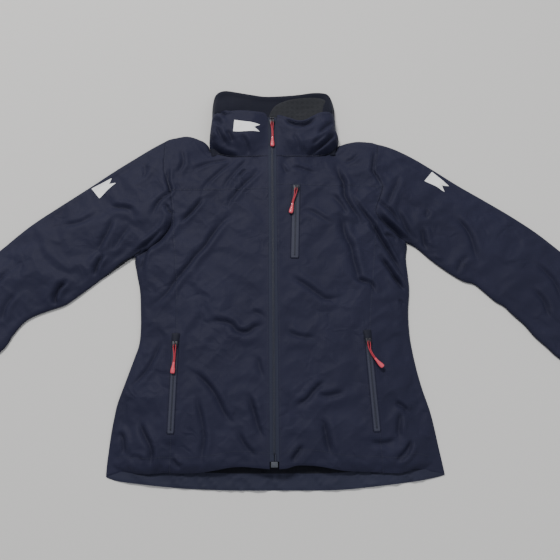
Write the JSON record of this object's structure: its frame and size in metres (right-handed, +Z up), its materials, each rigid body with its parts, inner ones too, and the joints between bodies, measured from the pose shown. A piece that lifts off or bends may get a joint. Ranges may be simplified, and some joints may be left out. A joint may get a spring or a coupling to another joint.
{
  "type": "foul weather jacket",
  "caption": "Sailing shell jacket lying flat, front up, with a full front zip, a chest and two hand pocket zips, high collar and long sleeves.",
  "frame": {"origin": "underside of the back panel, straight below the bottom end of the front zip", "axes": "+Z up off the surface the jacket lies on, +Y towards the collar, +X towards the wearer's left"},
  "size_m": [1.451, 0.743, 0.0322],
  "materials": {
    "shell": "navy coated woven nylon, fine plain weave, soft sheen",
    "shell_dark": "navy woven nylon seen on its inner side",
    "lining": "dark quick-dry mesh lining",
    "fleece": "brushed fleece, near black",
    "mesh": "open pocket mesh",
    "zip_tape": "water-resistant coated zip tape, charcoal",
    "zip_coil": "moulded coil, charcoal",
    "slider_metal": "die-cast slider, satin",
    "pull": "coral cord with moulded grip",
    "hardware_grey": "moulded grey plastic",
    "hardware_black": "moulded black plastic",
    "cord": "elastic cord, black",
    "emblem": "white transfer film"
  },
  "bodies": {
    "torso": {"back_lining": "lining", "back_panel": "shell", "chest_pocket_bag": "mesh", "chest_pocket_zip_coil": "zip_coil", "chest_pocket_zip_tape": "zip_tape", "collar_emblem": "emblem", "collar_lining": "fleece", "collar_shell": "shell", "hanger_loop": "shell_dark", "hem_drawcord": "cord", "hem_facing": "shell_dark", "left_front_lining": "lining", "left_front_panel": "shell", "left_front_yoke": "shell", "left_hem_lock_body": "hardware_black", "left_pocket_bag": "mesh", "left_pocket_zip_coil": "zip_coil", "left_pocket_zip_tape": "zip_tape", "left_side_panel": "shell", "main_zip_bottom_box": "hardware_grey", "main_zip_insertion_pin": "hardware_grey", "main_zip_left_coil": "zip_coil", "main_zip_left_tape": "zip_tape", "main_zip_left_top_stop": "slider_metal", "main_zip_right_coil": "zip_coil", "main_zip_right_tape": "zip_tape", "main_zip_right_top_stop": "slider_metal", "right_front_lining": "lining", "right_front_panel": "shell", "right_front_yoke": "shell", "right_hem_lock_body": "hardware_black", "right_pocket_bag": "mesh", "right_pocket_zip_coil": "zip_coil", "right_pocket_zip_tape": "zip_tape", "right_side_panel": "shell", "storm_flap": "shell_dark"},
    "main_slider": {"main_slider": "slider_metal"},
    "main_pull": {"main_pull": "pull"},
    "right_pocket_slider": {"right_pocket_slider": "slider_metal"},
    "right_pocket_pull": {"right_pocket_pull": "pull"},
    "left_pocket_slider": {"left_pocket_slider": "slider_metal"},
    "left_pocket_pull": {"left_pocket_pull": "pull"},
    "chest_pocket_slider": {"chest_pocket_slider": "slider_metal"},
    "chest_pocket_pull": {"chest_pocket_pull": "pull"},
    "right_upper_sleeve": {"right_upper_sleeve": "shell", "right_upper_sleeve_lining": "lining", "right_sleeve_emblem": "emblem"},
    "right_forearm": {"right_forearm_sleeve": "shell", "right_forearm_lining": "lining"},
    "right_cuff_tab": {"right_cuff_tab": "shell_dark"},
    "right_hem_plunger": {"right_hem_lock_plunger": "hardware_grey"},
    "left_upper_sleeve": {"left_upper_sleeve": "shell", "left_upper_sleeve_lining": "lining", "left_sleeve_emblem": "emblem"},
    "left_forearm": {"left_forearm_sleeve": "shell", "left_forearm_lining": "lining"},
    "left_cuff_tab": {"left_cuff_tab": "shell_dark"},
    "left_hem_plunger": {"left_hem_lock_plunger": "hardware_grey"}
  },
  "joints": [
    {"name": "main_zip_slide", "type": "slide", "parent": "torso", "child": "main_slider", "axis": [0, -1, 0], "range_m": [0, 0.606]},
    {"name": "main_pull_swing", "type": "hinge", "parent": "main_slider", "child": "main_pull", "pos_m": [0, 0.6296, 0.0289], "axis": [-1, 0, 0], "range_deg": [0, 165]},
    {"name": "right_pocket_zip_slide", "type": "slide", "parent": "torso", "child": "right_pocket_slider", "axis": [-0.0065, -1, 0], "range_m": [0, 0.134]},
    {"name": "right_pocket_pull_swing", "type": "hinge", "parent": "right_pocket_slider", "child": "right_pocket_pull", "pos_m": [-0.16656, 0.1956, 0.02985], "axis": [-1, 0.0065, 0], "range_deg": [0, 165]},
    {"name": "left_pocket_zip_slide", "type": "slide", "parent": "torso", "child": "left_pocket_slider", "axis": [0.0387, -0.9993, 0], "range_m": [0, 0.136]},
    {"name": "left_pocket_pull_swing", "type": "hinge", "parent": "left_pocket_slider", "child": "left_pocket_pull", "pos_m": [0.16036, 0.19761, 0.02985], "axis": [-0.9993, -0.0387, 0], "range_deg": [0, 165]},
    {"name": "chest_pocket_zip_slide", "type": "slide", "parent": "torso", "child": "chest_pocket_slider", "axis": [-0.0382, -0.9993, 0], "range_m": [0, 0.125]},
    {"name": "chest_pocket_pull_swing", "type": "hinge", "parent": "chest_pocket_slider", "child": "chest_pocket_pull", "pos_m": [0.04364, 0.48661, 0.02985], "axis": [-0.9993, 0.0382, 0], "range_deg": [0, 165]},
    {"name": "right_shoulder_swing", "type": "hinge", "parent": "torso", "child": "right_upper_sleeve", "pos_m": [-0.193, 0.48, 0.0085], "axis": [0, 0, 1], "range_deg": [-18, 18]},
    {"name": "right_elbow_fold", "type": "hinge", "parent": "right_upper_sleeve", "child": "right_forearm", "pos_m": [-0.44749, 0.3004, 0.0185], "axis": [-0.632, 0.775, 0], "range_deg": [0, 150]},
    {"name": "right_cuff_tab_peel", "type": "hinge", "parent": "right_forearm", "child": "right_cuff_tab", "pos_m": [-0.65018, 0.09641, 0.0175], "axis": [0.775, 0.632, 0], "range_deg": [0, 120]},
    {"name": "right_hem_lock_press", "type": "slide", "parent": "torso", "child": "right_hem_plunger", "axis": [1, 0, 0], "range_m": [0, 0.0035], "stiffness_N_per_m": 400},
    {"name": "left_shoulder_swing", "type": "hinge", "parent": "torso", "child": "left_upper_sleeve", "pos_m": [0.193, 0.48, 0.0085], "axis": [0, 0, 1], "range_deg": [-18, 18]},
    {"name": "left_elbow_fold", "type": "hinge", "parent": "left_upper_sleeve", "child": "left_forearm", "pos_m": [0.44749, 0.3004, 0.0185], "axis": [-0.632, -0.775, 0], "range_deg": [0, 150]},
    {"name": "left_cuff_tab_peel", "type": "hinge", "parent": "left_forearm", "child": "left_cuff_tab", "pos_m": [0.65018, 0.09641, 0.0175], "axis": [0.775, -0.632, 0], "range_deg": [0, 120]},
    {"name": "left_hem_lock_press", "type": "slide", "parent": "torso", "child": "left_hem_plunger", "axis": [-1, 0, 0], "range_m": [0, 0.0035], "stiffness_N_per_m": 400}
  ]
}
